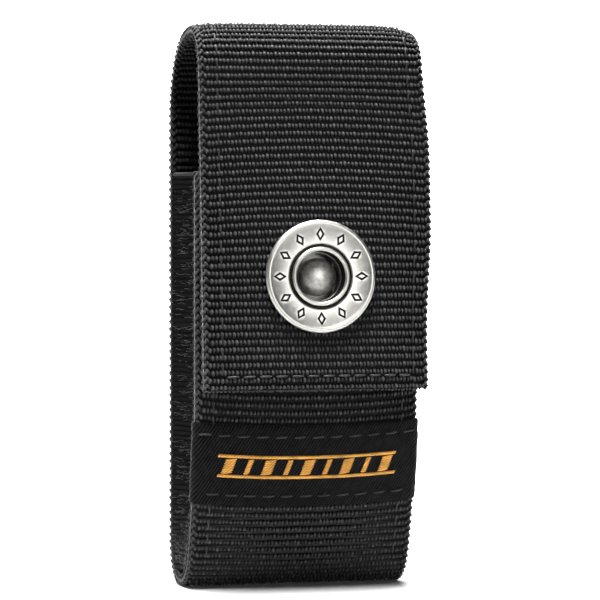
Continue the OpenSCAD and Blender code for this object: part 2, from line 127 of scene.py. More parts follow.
def step(d, z, heading, length, turn, l):
    """Depth, height and heading after l of a run that starts at d, z and heading."""
    if turn == 0:
        return d + l * np.cos(heading), z + l * np.sin(heading), heading + 0 * l
    radius, now = length / turn, heading - turn * l / length
    return (d + radius * (np.sin(heading) - np.sin(now)),
            z + radius * (np.cos(now) - np.cos(heading)), now)


def along(s, start=STRIP_START, runs=STRIP_RUNS):
    """Depth, height and heading of the outer face at distances s down a chain of runs."""
    d, z, heading = np.zeros_like(s), np.zeros_like(s), np.zeros_like(s)
    at = start
    for first, (length, turn) in zip(run_ends(runs), runs):
        here = s >= first if first > 0 else np.full(s.shape, True)
        d[here], z[here], heading[here] = step(*at, length, turn, s[here] - first)
        at = step(*at, length, turn, length)
    return d, z, heading


# %% [markdown]
# A flat pattern is easy to weave, stitch and cut, and hard to model in place. So each soft piece
# is made flat, with x across the strip, -y along it and z as the height above its face, and then
# laid on the route by moving its vertices. The panels bulge a little in the middle, the ribs sag
# with the bulge, and cloth that runs past an edge wraps round it.

# %% Lay flat cloth on the strip
def ease(v):
    c = np.clip(v, 0, 1)
    return c * c * (3 - 2 * c)


def bulge(s):
    """How far the middle of the strip stands out at distance s."""
    pocket = POCKET_BULGE * ease((FRONT_LEN - s) / STRIP_RUNS[1][0])
    flap = FLAP_BULGE * ease((s - CROWN_END) / (SNAP_S - CROWN_END))
    return np.where(s < FRONT_LEN, pocket, np.where(s > CROWN_END, flap, 0))


def sag(x, s):
    """How far the middle of a rib hangs below its ends in front, or rises above the ring."""
    middle = 1 - np.clip(np.abs(x) / HALF_W, 0, 1) ** 2
    low_front = 1.1 * MM * ease(s / (70 * MM)) * ease((LOWEST + 10 * MM - s) / (30 * MM))
    over_ring = -0.8 * MM * ease((s - CROWN_END) / (12 * MM)) * ease((SNAP_S - s) / (12 * MM))
    return np.where(s < CROWN_END, low_front, over_ring) * middle


def edge_droop(x, s):
    """How far the strip's edges curl down over the crown, the right one further."""
    past = s - CROWN_TOP
    near = ease((past + 18 * MM) / (16 * MM)) * ease((20 * MM - past) / (18 * MM))
    return np.where(x > 0, 2.0, 0.8) * MM * near * np.minimum(1, np.abs(x) / HALF_W) ** 8


def edge_bow(x, s):
    """How far the flap's right edge bows out above the snap."""
    past = s - CROWN_END
    near = ease(past / (22 * MM)) * ease((60 * MM - past) / (26 * MM))
    return 1.3 * MM * near * np.clip(x / HALF_W, 0, 1) ** 2


# %% Wrap cloth on the route
def place(x, s, t, half=HALF_W):
    """Points in the frame for cloth x across, s along and t above the strip's outer face."""
    s = s + sag(x, s)
    fold_r = WALL / 2
    s_on = np.clip(s, fold_r, FLAP_END - fold_r)
    x_on = np.clip(x, -half, half)
    d, z, heading = along(s_on)
    out_d, out_z = -np.sin(heading), np.cos(heading)
    on_d, on_z = np.cos(heading), np.sin(heading)
    crown = bulge(s_on) * (1 - np.minimum(1, np.abs(x_on) / HALF_W) ** BULGE_POWER)
    end_angle = np.clip((s - s_on) / fold_r, -math.pi, math.pi)
    side_angle = np.clip((x - x_on) / fold_r, -math.pi, math.pi)
    reach = fold_r + t
    up = crown - edge_droop(x_on, s_on) - fold_r + reach * np.cos(end_angle) * np.cos(side_angle)
    forward = reach * np.sin(end_angle)
    x_out = x_on + edge_bow(x_on, s_on) + reach * np.sin(side_angle) * np.cos(end_angle)
    return np.stack([x_out, BACK_Y - (d + out_d * up + on_d * forward),
                     z + out_z * up + on_z * forward], axis=-1)


# %% Lay a piece on the strip
def coordinates(piece):
    flat = np.empty(len(piece.data.vertices) * 3)
    piece.data.vertices.foreach_get("co", flat)
    return flat.reshape(-1, 3)


def set_coordinates(piece, points):
    piece.data.vertices.foreach_set("co", np.ascontiguousarray(points, dtype=float).ravel())
    piece.data.update()


def remember_pattern(piece, pattern):
    """Keeps the flat pattern's x, s and height on the piece, for its material."""
    layer = piece.data.attributes.new("cloth", "FLOAT_VECTOR", "POINT")
    layer.data.foreach_set("vector", np.ascontiguousarray(pattern, dtype=np.float32).ravel())


def lay(piece, inner=False, laid_by=place):
    """Lays a flat piece on the strip, face outwards, or face inwards on the inner layer."""
    flat = coordinates(piece)
    x, s, height = flat[:, 0], -flat[:, 1], flat[:, 2]
    remember_pattern(piece, np.stack([x, s, height], axis=-1))
    set_coordinates(piece, laid_by(x, s, -WALL - height if inner else height))
    if inner:
        piece.data.flip_normals()
    return piece


print("flap's lower edge in mm",
      np.round(place(np.zeros(1), np.array([FLAP_END]), np.zeros(1))[0] / MM, 1))

# %% [markdown]
# Each step below adds a primitive, shapes it and finishes it with modifiers. An operator acts on
# everything that is selected, so these short helpers deselect first, name what was added and
# apply places and modifiers. A finished piece then sits at the origin with its place in its mesh.

# %% Modelling helpers
def deselect():
    if bpy.context.object and bpy.context.object.mode != "OBJECT":
        bpy.ops.object.mode_set(mode="OBJECT")
    bpy.ops.object.select_all(action="DESELECT")


def added(name):
    piece = bpy.context.object
    piece.name = piece.data.name = name
    return piece


def pick(piece):
    deselect()
    piece.select_set(True)
    bpy.context.view_layer.objects.active = piece
    return piece


def edit_all(piece):
    pick(piece)
    bpy.ops.object.mode_set(mode="EDIT")
    bpy.ops.mesh.select_all(action="SELECT")


def apply_place(piece):
    pick(piece)
    bpy.ops.object.transform_apply(location=True, rotation=True, scale=True)
    return piece


def apply_modifiers(piece):
    pick(piece)
    for modifier in list(piece.modifiers):
        bpy.ops.object.modifier_apply(modifier=modifier.name)
    return piece


# %% Copy, join and count
def copy_of(piece, name, move=(0, 0, 0)):
    twin = bpy.data.objects.new(name, piece.data.copy())
    bpy.context.scene.collection.objects.link(twin)
    twin.data.transform(Matrix.Translation(move))
    return twin


def joined(name, parts):
    deselect()
    for part in parts:
        part.select_set(True)
    bpy.context.view_layer.objects.active = parts[0]
    if len(parts) > 1:
        bpy.ops.object.join()
    return added(name)


def smooth(piece, angle=50):
    pick(piece)
    bpy.ops.object.shade_smooth_by_angle(angle=math.radians(angle))
    return piece


def repeat(piece, count, offset):
    """Copies a piece in a row with an Array, as many times as said."""
    row = piece.modifiers.new("row", "ARRAY")
    row.count = count
    row.use_relative_offset, row.use_constant_offset = False, True
    row.constant_offset_displace = offset
    return apply_modifiers(piece)


def tris(piece):
    piece.data.calc_loop_triangles()
    return len(piece.data.loop_triangles)


# %% [markdown]
# ## The weave
# Heavy nylon webbing is a row of round ribs. On each rib the warp threads rise as small grains,
# in groups of one wide and two narrow ones, and every other rib is shifted a little. A real
# displaced cloth would need millions of faces, and a bump map falls flat at the edges. So a grain
# is modelled once, as a squashed dome, and copied in rows.

# %% One grain and one group of grains
RIBS = 198                                   # ribs from the mouth to the flap's edge
PITCH = FLAP_END / RIBS
GROUP = 2.54 * MM
GROUPS = 19
GROOVE = 0.74 * MM                           # how deep the grooves lie below the grains' tops
print("rib pitch", round(PITCH / MM, 3), "mm")


def grain(width, length, height, segments, rings):
    """A dome that is longer along the strip than across it, closed underneath."""
    deselect()
    bpy.ops.mesh.primitive_uv_sphere_add(segments=segments, ring_count=rings, radius=0.5)
    dome = added("grain")
    edit_all(dome)
    bpy.ops.mesh.bisect(plane_co=(0, 0, 0), plane_no=(0, 0, 1), use_fill=True,
                        clear_inner=True)
    bpy.ops.mesh.select_all(action="SELECT")
    bpy.ops.transform.resize(value=(width, length, 2 * height), center_override=(0, 0, 0))
    bpy.ops.object.mode_set(mode="OBJECT")
    return dome


GRAINS = [                                   # place across the group, width, length, height
    (-0.80, 0.98, 1.36, 0.84),
    (0.07, 0.80, 1.26, 0.74),
    (0.85, 0.80, 1.26, 0.79),
]


def grain_group(segments, rings):
    parts = []
    for across, width, length, height in GRAINS:
        dome = grain(width * MM, length * MM, height * MM, segments, rings)
        dome.data.transform(Matrix.Translation((across * MM, 0, -GROOVE)))
        parts.append(dome)
    return joined("group", parts)


# %% [markdown]
# A length of webbing is then a thin closed core, a low bar along every rib, the grains, and a
# selvage: along both edges a thread loops round the ribs' ends, which gives the knobbly outline.
# Real cloth is never perfect, so each grain is nudged a little, from a fixed seed.

# %% Weave a length of webbing
def woven_core(width, s0, s1, thick, rows):
    deselect()
    bpy.ops.mesh.primitive_grid_add(x_subdivisions=26, y_subdivisions=rows, size=1,
                                    location=(0, -(s0 + s1) / 2, -GROOVE))
    core = added("core")
    core.scale = (width, s1 - s0, 1)
    apply_place(core)
    wall = core.modifiers.new("thickness", "SOLIDIFY")
    wall.thickness, wall.offset = thick - GROOVE, -1
    return apply_modifiers(core)


def rib_bar(width):
    deselect()
    bpy.ops.mesh.primitive_cylinder_add(vertices=6, radius=0.5, depth=1,
                                        rotation=(0, math.pi / 2, 0))
    bar = added("bar")
    bar.scale = (1, 1, width)
    apply_place(bar)
    edit_all(bar)
    bpy.ops.transform.resize(value=(1, 1.12 * MM, 0.9 * MM), center_override=(0, 0, 0))
    bpy.ops.object.mode_set(mode="OBJECT")
    bar.data.transform(Matrix.Translation((0, 0, -GROOVE)))
    return bar


# %% Edge thread
def selvage_loop(side, half_width, thick, inward, slant, along_by):
    """One loop of the edge thread, slanted across the rib's end."""
    deselect()
    bpy.ops.mesh.primitive_uv_sphere_add(segments=8, ring_count=5, radius=0.5)
    loop = added("selvage")
    loop.data.transform(Matrix.Diagonal((0.72 * MM, 1.5 * MM, thick * 0.8, 1)))
    loop.data.transform(Matrix.Rotation(math.radians(24), 4, "X"))
    loop.data.transform(Matrix.Rotation(side * math.radians(slant), 4, "Z"))
    across = side * (half_width - inward * MM)
    loop.data.transform(Matrix.Translation((across, along_by * MM, -thick * 0.42)))
    return loop


SELVAGE = [                                  # from the edge, slant in degrees, along the strip
    (0.42, 28, 0.0),
    (0.95, -34, 0.55),
]


# %% Nudge the grains and cut a hole
def nudged(piece, per_grain, seed, most):
    """Moves and lifts each grain a little."""
    points = coordinates(piece).reshape(-1, per_grain, 3)
    shift = np.random.default_rng(seed).uniform(-1, 1, (len(points), 1, 3))
    set_coordinates(piece, (points + shift * np.array(most)).reshape(-1, 3))
    return piece


def cut_hole(piece, s, radius):
    """Cuts a round hole through flat closed pieces."""
    deselect()
    bpy.ops.mesh.primitive_cylinder_add(vertices=64, radius=radius, depth=0.02,
                                        location=(0, -s, 0))
    cutter = apply_place(added("cutter"))
    hole = piece.modifiers.new("hole", "BOOLEAN")
    hole.operation, hole.solver, hole.object = "DIFFERENCE", "EXACT", cutter
    apply_modifiers(piece)
    bpy.data.objects.remove(cutter)


def clear_grains(piece, per_grain, s, radius):
    """Takes away the grains that lie over a hole."""
    points = coordinates(piece).reshape(-1, per_grain, 3).mean(axis=1)
    near = np.hypot(points[:, 0], points[:, 1] + s) < radius
    edit_all(piece)
    bpy.ops.mesh.select_all(action="DESELECT")
    bpy.ops.object.mode_set(mode="OBJECT")
    piece.data.vertices.foreach_set("select", np.repeat(near, per_grain))
    bpy.ops.object.mode_set(mode="EDIT")
    bpy.ops.mesh.delete(type="VERT")
    bpy.ops.object.mode_set(mode="OBJECT")


# %% Put a length together
def webbing(name, k0, k1, s0, s1, segments=8, rings=6, half_width=HALF_W, thick=LAYER,
            groups=GROUPS, hole=None):
    """A flat length with ribs k0 to k1 and a core from s0 to s1, and maybe a hole (s, radius)."""
    group = grain_group(segments, rings)
    per_grain = len(group.data.vertices) // len(GRAINS)
    row = repeat(group, groups, (GROUP, 0, 0))
    middle = GROUP * (groups - 1) / 2
    row.data.transform(Matrix.Translation((-middle, 0, 0)))
    rows = []
    for parity in (0, 1):
        ks = [k for k in range(k0, k1) if k % 2 == parity]
        shift = (0.29 if parity else -0.29) * MM
        start = copy_of(row, "rows", (shift, -PITCH * (ks[0] + 0.5), 0))
        rows.append(repeat(start, len(ks), (0, -2 * PITCH, 0)))
    bpy.data.objects.remove(row)
    grains = joined("grains", rows)
    nudged(grains, per_grain, 7 + k0 % 97, (0.05 * MM, 0.07 * MM, 0.05 * MM))
    parts = [woven_core(2 * half_width - 0.5 * MM, s0, s1, thick, k1 - k0)]
    loops = [selvage_loop(side, half_width, thick, *how) for side in (-1, 1) for how in SELVAGE]
    for made in [rib_bar(2 * half_width - 2.2 * MM)] + loops:
        made.data.transform(Matrix.Translation((0, -PITCH * (k0 + 0.5), 0)))
        parts.append(repeat(made, k1 - k0, (0, -PITCH, 0)))
    if hole:
        clear_grains(grains, per_grain, hole[0], hole[1] + 0.5 * MM)
        cut_hole(parts[0], *hole)
        cut_hole(parts[1], *hole)
    return smooth(joined(name, [grains] + parts), 60)


print("grains on a rib", GROUPS * len(GRAINS))

# %% [markdown]
# ## The strip's pieces
# On the real sheath one strip goes all the way round. Here it crosses two folds, and a piece can
# bend at one fold only. A single piece would tear, and a cut in plain view would show, so the
# strip is cut in rib grooves: pocket front, back, the crown's rear and front halves, and the
# flap. Each is woven twice, as the outer layer and as the lining behind it.

# %% Weave and lay the strip
FRONT_RIB, LOW_RIB, HIGH_RIB, TOP_RIB, BROW_RIB = -1, 60, 120, 146, 163
WRAP = math.pi * WALL / 2                    # cloth that a folded end takes
START_S, STOP_S = WALL / 2 - WRAP, FLAP_END - WALL / 2 + WRAP
LAST_RIB = int(STOP_S / PITCH)
STRIP_CUTS = {
    "pocket_front": (FRONT_RIB, LOW_RIB, START_S, LOW_RIB * PITCH),
    "pocket_back": (LOW_RIB, HIGH_RIB, LOW_RIB * PITCH, HIGH_RIB * PITCH),
    "crown_rear": (HIGH_RIB, TOP_RIB, HIGH_RIB * PITCH, TOP_RIB * PITCH),
    "crown_front": (TOP_RIB, BROW_RIB, TOP_RIB * PITCH, BROW_RIB * PITCH),
    "flap": (BROW_RIB, LAST_RIB, BROW_RIB * PITCH, STOP_S),
}
EYE_HOLE = (SNAP_S, 6.05 * MM)
pieces = {}
for part_name, (k0, k1, s0, s1) in STRIP_CUTS.items():
    sides = 6 if part_name in ("pocket_back", "pocket_front") else 8
    hole = EYE_HOLE if part_name == "flap" else None
    outer = webbing(part_name + "_outer", k0, k1, s0, s1, sides, hole=hole)
    pieces[part_name + "_outer"] = lay(outer)
    s0_in, s1_in = max(s0, WALL / 2), min(s1, FLAP_END - WALL / 2)
    inner = webbing(part_name + "_inner", max(k0, 1), min(k1, RIBS - 1), s0_in, s1_in, 6, 4,
                    hole=hole)
    pieces[part_name + "_inner"] = lay(inner, inner=True)
    print(part_name, tris(outer), tris(inner))

# %% [markdown]
# ## Materials
# Cloth, thread and metal are mixed from noise, waves and ramps. Long chains of Math nodes are
# hard to read, so a small class wraps a socket and turns +, - and * into nodes, and one method
# adds any other node from its type, its settings and its inputs.

# %% Shader helpers
class Socket:
    """A socket that takes part in sums: each operator adds its Math node."""

    def __init__(self, paint, socket):
        self.paint, self.socket = paint, socket

    def math(self, operation, first, second):
        return self.paint.node("ShaderNodeMath", {"operation": operation}, {0: first, 1: second})

    def __add__(self, other):
        return self.math("ADD", self, other)

    def __sub__(self, other):
        return self.math("SUBTRACT", self, other)

    def __mul__(self, other):
        return self.math("MULTIPLY", self, other)

    __radd__, __rmul__ = __add__, __mul__

    def __rsub__(self, other):
        return self.math("SUBTRACT", other, self)


# %% Mix a material
class Paint:
    """A material being mixed, with a method that adds any node."""

    def __init__(self, name):
        self.material = bpy.data.materials.new(name)
        self.material.use_nodes = True
        self.tree = self.material.node_tree
        self.shader = self.tree.nodes["Principled BSDF"]

    def node(self, kind, settings, inputs, out=0):
        made = self.tree.nodes.new(kind)
        for key, value in settings.items():
            if key == "stops":
                self.set_stops(made.color_ramp, value)
            else:
                setattr(made, key, value)
        for key, value in inputs.items():
            self.feed(made.inputs[key], value)
        return Socket(self, made.outputs[out])

    def set_stops(self, ramp, stops):
        while len(ramp.elements) < len(stops):
            ramp.elements.new(0.5)
        for element, (position, color) in zip(ramp.elements, stops):
            element.position, element.color = position, (*color, 1)

    def feed(self, socket, value):
        if isinstance(value, Socket):
            self.tree.links.new(value.socket, socket)
        else:
            socket.default_value = value

    def set(self, **values):
        """Sets or links the main shader's sockets, with _ for a space in a name."""
        for key, value in values.items():
            self.feed(self.shader.inputs[key.replace("_", " ")], value)
        return self

    def noise(self, vector, scale, detail=2, rough=0.5):
        return self.node("ShaderNodeTexNoise", {},
                         {"Vector": vector, "Scale": scale, "Detail": detail, "Roughness": rough})

    def ramp(self, value, stops):
        return self.node("ShaderNodeValToRGB", {"stops": stops}, {0: value})

    def bump(self, height, strength, distance):
        return self.node("ShaderNodeBump", {}, {"Height": height, "Strength": strength,
                                                "Distance": distance})

    def stretched(self, vector, scale):
        return self.node("ShaderNodeMapping", {}, {"Vector": vector, "Scale": scale})


# %% [markdown]
# Black nylon is not black. Its colour is painted by the height that was kept from the flat pattern:
# near black in the grooves, a painted shade, and grey on the grains' tops, a painted highlight. A
# noise varies the tone at random, and fine filaments run along each grain.

# %% Webbing
def webbing_paint(name, dark, light, gloss=0.42, shine=0.2):
    paint = Paint(name)
    cloth = paint.node("ShaderNodeAttribute", {"attribute_name": "cloth"}, {}, "Vector")
    place_on = paint.node("ShaderNodeTexCoord", {}, {}, "Object")
    height = paint.node("ShaderNodeSeparateXYZ", {}, {0: cloth}, "Z")
    high = height * (1 / GROOVE) + 1
    patch = paint.noise(place_on, 900, 2, 0.6)
    filament = paint.noise(paint.stretched(cloth, (9000, 1500, 1)), 1, 2, 0.5)
    # Painted shade and highlight: darker towards the grooves' floor, lighter at the grains' tops.
    tone = high * 1.25 + patch * 0.5 - 0.75
    paint.set(
        Base_Color=paint.ramp(tone, [(0.0, dark), (0.55, [(a + b) / 2 for a, b in
                                                          zip(dark, light)]), (1.0, light)]),
        Roughness=gloss + 0.25 * filament,
        Normal=paint.bump(filament, 0.35, 0.05 * MM), Specular_IOR_Level=shine)
    return paint.material


# The dark end is the painted shade at the grooves' floor; the light end is the painted highlight on
# the tops.
PAINTED_GROOVE_BLACK = (0.0006, 0.0006, 0.0006)
webbing_black = webbing_paint("black nylon webbing", PAINTED_GROOVE_BLACK, (0.080, 0.080, 0.081))
lining_black = webbing_paint("black lining webbing", PAINTED_GROOVE_BLACK, (0.036, 0.036, 0.037), 0.5, 0.2)
loop_black = webbing_paint("black belt loop webbing", PAINTED_GROOVE_BLACK, (0.060, 0.060, 0.061))
print("webbing materials", [m.name for m in (webbing_black, lining_black, loop_black)])


def dress(piece, material):
    piece.data.materials.clear()
    piece.data.materials.append(material)
    return piece


for part_name in STRIP_CUTS:
    dress(pieces[part_name + "_outer"], webbing_black)
    dress(pieces[part_name + "_inner"], lining_black)

# %% [markdown]
# ## How the strip moves
# The pocket and the flap ride their bodies. The crown's two halves stay where they were laid.

# %% Ride the bodies
REAR_BEND = ((0, BACK_Y, CROWN_Z - 8 * MM), (0, BACK_Y - 10 * MM, CROWN_Z + 16 * MM))
FRONT_BEND = ((0, BACK_Y - CROWN_R, CROWN_Z + CROWN_R),
              (0, BACK_Y - CROWN_R - CROWN_FRONT_R, CROWN_Z + CROWN_R - 14 * MM))


def move_with(piece, cut):
    """Hangs a piece on the strip on the pocket or the flap; a crown piece stays where it was laid."""
    if cut == "crown_rear":
        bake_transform(piece)
    elif cut == "crown_front":
        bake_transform(piece)
    else:
        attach(piece, "flap" if cut == "flap" else "pocket")
    return piece


for part_name in STRIP_CUTS:
    move_with(pieces[part_name + "_outer"], part_name)
    move_with(pieces[part_name + "_inner"], part_name)
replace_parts(pieces["pocket_front_outer"], "pocket_webbing", "pocket_mouth_binding")
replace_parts(pieces["pocket_front_inner"], "pocket_lining")
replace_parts(pieces["crown_rear_outer"], "crown_webbing")
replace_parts(pieces["crown_rear_inner"], "crown_lining")
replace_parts(pieces["flap_outer"], "flap_webbing", "flap_hem")
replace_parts(pieces["flap_inner"], "flap_lining")
print("pieces on the strip", len(pieces))

# %% [markdown]
# ## Stitching
# One stitch is a short twisted thread that dives into the cloth at both ends. A painted dash
# would have no shadow, and a thread swept along the whole seam spends faces inside the cloth. So
# one stitch is made, copied in rows on the flat pattern and laid on the strip like the cloth.

# %% Stitches
def thread_paint(name, color, rough=0.45):
    paint = Paint(name)
    cloth = paint.node("ShaderNodeAttribute", {"attribute_name": "cloth"}, {}, "Vector")
    twist = paint.node("ShaderNodeTexWave", {"bands_direction": "DIAGONAL"},
                       {"Vector": cloth, "Scale": 900, "Distortion": 0.4}, "Fac")
    shade = paint.noise(cloth, 350, 1)
    lit = twist * 0.3 + shade * 0.9
    paint.set(Base_Color=paint.ramp(lit, [(0.25, [c * 0.45 for c in color]), (0.85, color)]),
              Roughness=rough, Normal=paint.bump(twist, 0.5, 0.06 * MM), Specular_IOR_Level=0.35)
    return paint.material


black_thread = thread_paint("black sewing thread", (0.040, 0.040, 0.042))
gold_thread = thread_paint("gold label thread", (1.0, 0.50, 0.09), 0.4)


# %% One stitch and a row of them
def thread(length, width, height, segments=10, rings=8):
    """A plump thread along -y, a little squarer at the ends than an egg."""
    deselect()
    bpy.ops.mesh.primitive_uv_sphere_add(segments=segments, ring_count=rings, radius=1,
                                         rotation=(RIGHT_ANGLE, 0, 0))
    made = apply_place(added("thread"))
    points = coordinates(made)
    along_it = np.sign(points[:, 1]) * np.abs(points[:, 1]) ** 0.8
    girth = (1 - along_it ** 4) ** 0.5 / np.maximum(1e-6, (1 - points[:, 1] ** 2) ** 0.5)
    girth = np.minimum(girth, 2)
    droop = -0.9 * along_it ** 4
    set_coordinates(made, np.stack([
        points[:, 0] * girth * width / 2, along_it * length / 2,
        (points[:, 2] * girth + droop) * height / 2], axis=-1))
    return made


def stitch_row(spots, length, width, lift, across=False, tilt=0.0):
    """Stitches at flat spots (x, s), along the strip or across it."""
    stitch = thread(length, width, width)
    turn = (RIGHT_ANGLE if across else 0) + tilt
    stitch.data.transform(Matrix.Rotation(turn, 4, "Z"))
    row = [copy_of(stitch, "stitch", (x, -s, lift)) for x, s in spots]
    bpy.data.objects.remove(stitch)
    return smooth(joined("stitches", row), 70)


# %% Sew the seams and the hem
SEAM_X = HALF_W - 4 * MM
STITCH_RIBS = 2                              # each edge stitch passes over two ribs
HEM_S = FLAP_END - 3.3 * MM


def seam_spots(k0, k1):
    first = k0 + k0 % STITCH_RIBS
    middles = [(k + 1) * PITCH for k in range(first, k1 - 1, STITCH_RIBS)]
    return [(side * SEAM_X, s) for side in (-1, 1) for s in middles]


SEAMS = {
    "pocket_front": (2, 52, "pocket_front_stitching"),
    "pocket_back": (66, 120, "pocket_back_stitching"),
    "crown_rear": (120, 146, "crown_stitching"),
    "crown_front": (146, 163, "crown_stitching"),
    "flap": (163, 196, "flap_stitching"),
}
for cut, (k0, k1, node) in SEAMS.items():
    seam = stitch_row(seam_spots(k0, k1), 2.6 * MM, 0.32 * MM, 0.08 * MM)
    seam.name = cut + "_seams"
    move_with(dress(lay(seam), black_thread), cut)
    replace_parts(seam, node)
hem_spots = [(x * MM, HEM_S) for x in np.arange(-19.25, 19.3, 3.5)]
hem = stitch_row(hem_spots, 2.7 * MM, 0.5 * MM, 0.1 * MM, across=True, tilt=0.04)
hem.name = "hem_stitches"
move_with(dress(lay(hem), black_thread), "flap")
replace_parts(hem, "hem_stitching")
print("hem stitches", len(hem_spots), "stitches on the flap's edges", len(seam_spots(163, 196)))

# %% [markdown]
# ## Gussets
# A gusset is a softer strip folded inwards between the front and back panels, with fine ribs, a
# stitched top edge and loose hairs. A cloth simulation could fold it, but its place would have
# to be found by trial. The formula of the CAD gives it at once: `u` runs from the back panel to
# the front one, and a sine folds the middle inwards.

# %% Fold the gussets
GUSSET_LOW = low_high("gusset_left")[0][2]
GUSSET_FOLD, GUSSET_CLEAR, GUSSET_INSET = 6 * MM, 0.15 * MM, 0.4 * MM
GUSSET_RIB = 1.1 * MM
GUSSET_TOP = MOUTH_Z - 0.6 * MM
room_r, front_room_r = BOTTOM_R - WALL - GUSSET_CLEAR, front_r - WALL - GUSSET_CLEAR


def gusset_place(side, u, z, out):
    """Points on a gusset, u from back to front, at height z and out from its outer face."""
    fold = GUSSET_FOLD * (0.15 + 0.85 * ease((z - GUSSET_LOW) / (26 * MM)))
    chord = np.sqrt(np.maximum(0, room_r ** 2 - (BOTTOM_R - z) ** 2))
    back = np.where(z > BOTTOM_R, BOTTOM_R - room_r, BOTTOM_R - chord)
    curved = POCKET_DEPTH - front_r + np.sqrt(front_room_r ** 2 - (front_foot_z - z) ** 2)
    front = np.where(z > front_foot_z, POCKET_DEPTH - WALL - GUSSET_CLEAR,
                     np.where(z > BOTTOM_R - room_r * math.cos(FRONT_RISE), curved,
                              BOTTOM_R + chord))
    x = HALF_W - GUSSET_INSET - fold * np.sin(math.pi * u) + out
    return np.stack([side * x, BACK_Y - back - (front - back) * u, z], axis=-1)


def gusset(side, name):
    ribs = int((GUSSET_TOP - GUSSET_LOW) / GUSSET_RIB)
    deselect()
    bpy.ops.mesh.primitive_grid_add(x_subdivisions=28, y_subdivisions=6 * ribs, size=1)
    cloth = added(name)
    flat = coordinates(cloth)
    u, v = flat[:, 0] + 0.5, flat[:, 1] + 0.5
    waver = 0.12 * MM * np.sin(9 * u + 2.3 * np.sin(40 * v))
    ridge = 0.42 * MM * np.abs(np.sin(math.pi * ribs * v)) ** 0.7
    z = GUSSET_LOW + (GUSSET_TOP - GUSSET_LOW) * v + waver * ease(20 * (1 - v)) * ease(20 * v)
    pattern = [u * POCKET_DEPTH, v * ribs * GUSSET_RIB, ridge - 0.55 * MM]
    remember_pattern(cloth, np.stack(pattern, axis=-1))
    set_coordinates(cloth, gusset_place(side, u, z, ridge - 0.15 * MM))
    if side > 0:
        cloth.data.flip_normals()
    wall = cloth.modifiers.new("thickness", "SOLIDIFY")
    wall.thickness, wall.offset = 1.0 * MM, -1
    return smooth(apply_modifiers(cloth), 80)


# %% Roll the top edge
def gusset_hem(side, name):
    """A rolled edge along the gusset's top, overcast with short stitches."""
    u = np.linspace(0.02, 0.98, 40)
    z_top = np.full_like(u, GUSSET_TOP)
    centres = gusset_place(side, u, z_top, -0.45 * MM)
    loops = []
    for centre in centres:
        deselect()
        bpy.ops.mesh.primitive_uv_sphere_add(segments=10, ring_count=8, radius=0.5)
        turn = added("loop")
        turn.data.transform(Matrix.Diagonal((1.5 * MM, 0.8 * MM, 1.15 * MM, 1)))
        turn.data.transform(Matrix.Rotation(0.3, 4, "X"))
        turn.data.transform(Matrix.Translation(centre))
        loops.append(turn)
    hem_made = smooth(joined(name, loops), 80)
    remember_pattern(hem_made, coordinates(hem_made))
    return hem_made


# %% Loose hairs
def gusset_fuzz(side, name, hairs=900):
    """Short loose hairs that lie nearly level on the gusset, set out by chance."""
    deselect()
    bpy.ops.mesh.primitive_cylinder_add(vertices=4, radius=0.055 * MM, depth=1,
                                        rotation=(0, RIGHT_ANGLE, 0))
    hair = apply_place(added(name))
    edit_all(hair)
    bpy.ops.mesh.subdivide(number_cuts=4)
    bpy.ops.object.mode_set(mode="OBJECT")
    per_hair = len(hair.data.vertices)
    repeat(hair, hairs, (2.0, 0, 0))
    points = coordinates(hair).reshape(hairs, per_hair, 3)
    dice = np.random.default_rng(11).uniform(0, 1, (4, hairs, 1))
    t = points[:, :, 0] - 2.0 * np.arange(hairs)[:, None]
    u = 0.06 + 0.86 * dice[0] + t * (0.05 + 0.07 * dice[1])
    wander = 0.5 * MM * t * (dice[2] - 0.5) + 0.14 * MM * np.sin(7 * t + 40 * dice[3])
    z = GUSSET_LOW + (MOUTH_Z - 4 * MM - GUSSET_LOW) * dice[3] + wander + points[:, :, 2] + 1 * MM
    out = 0.22 * MM + 0.22 * MM * np.cos(5 * t + 9 * dice[2]) + points[:, :, 1]
    remember_pattern(hair, np.stack([u * POCKET_DEPTH, z, 0 * z], axis=-1).reshape(-1, 3))
    set_coordinates(hair, gusset_place(side, u, z, out).reshape(-1, 3))
    edit_all(hair)
    bpy.ops.mesh.normals_make_consistent(inside=False)
    bpy.ops.object.mode_set(mode="OBJECT")
    return smooth(hair, 80)


# %% Place both gussets
# Painted shade: the gusset's colour is much darker than the webbing's, for the shaded valley of its
# fold.
gusset_shade_black = webbing_paint("black gusset cloth", PAINTED_GROOVE_BLACK, (0.010, 0.010, 0.011), 0.65, 0.08)
for side, end in ((-1, "left"), (1, "right")):
    cloth = dress(gusset(side, "gusset_cloth_" + end), gusset_shade_black)
    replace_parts(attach(cloth, "pocket"), "gusset_" + end)
    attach(dress(gusset_fuzz(side, "gusset_fuzz_" + end), black_thread), "pocket")
    edge = dress(gusset_hem(side, "gusset_hem_" + end), black_thread)
    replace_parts(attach(edge, "pocket"), "gusset_binding_" + end)
print("gusset ribs", int((MOUTH_Z - GUSSET_LOW) / GUSSET_RIB))

# %% [markdown]
# ## Label
# The label is a thin twill patch that is sewn on along its long edges and turned round both
# edges of the pocket's front. A picture of it on the webbing would have no edges and no shadow.
# So it is a fine grid, pressed in along its two rows of stitches, given a thickness and laid on
# the strip.

# %% Weave the label and its motif
def s_at(z):
    """Distance along the pocket's front at height z."""
    curved = MOUTH_Z - front_foot_z + front_r * math.asin(max(0, front_foot_z - z) / front_r)
    return MOUTH_Z - z if z > front_foot_z else curved


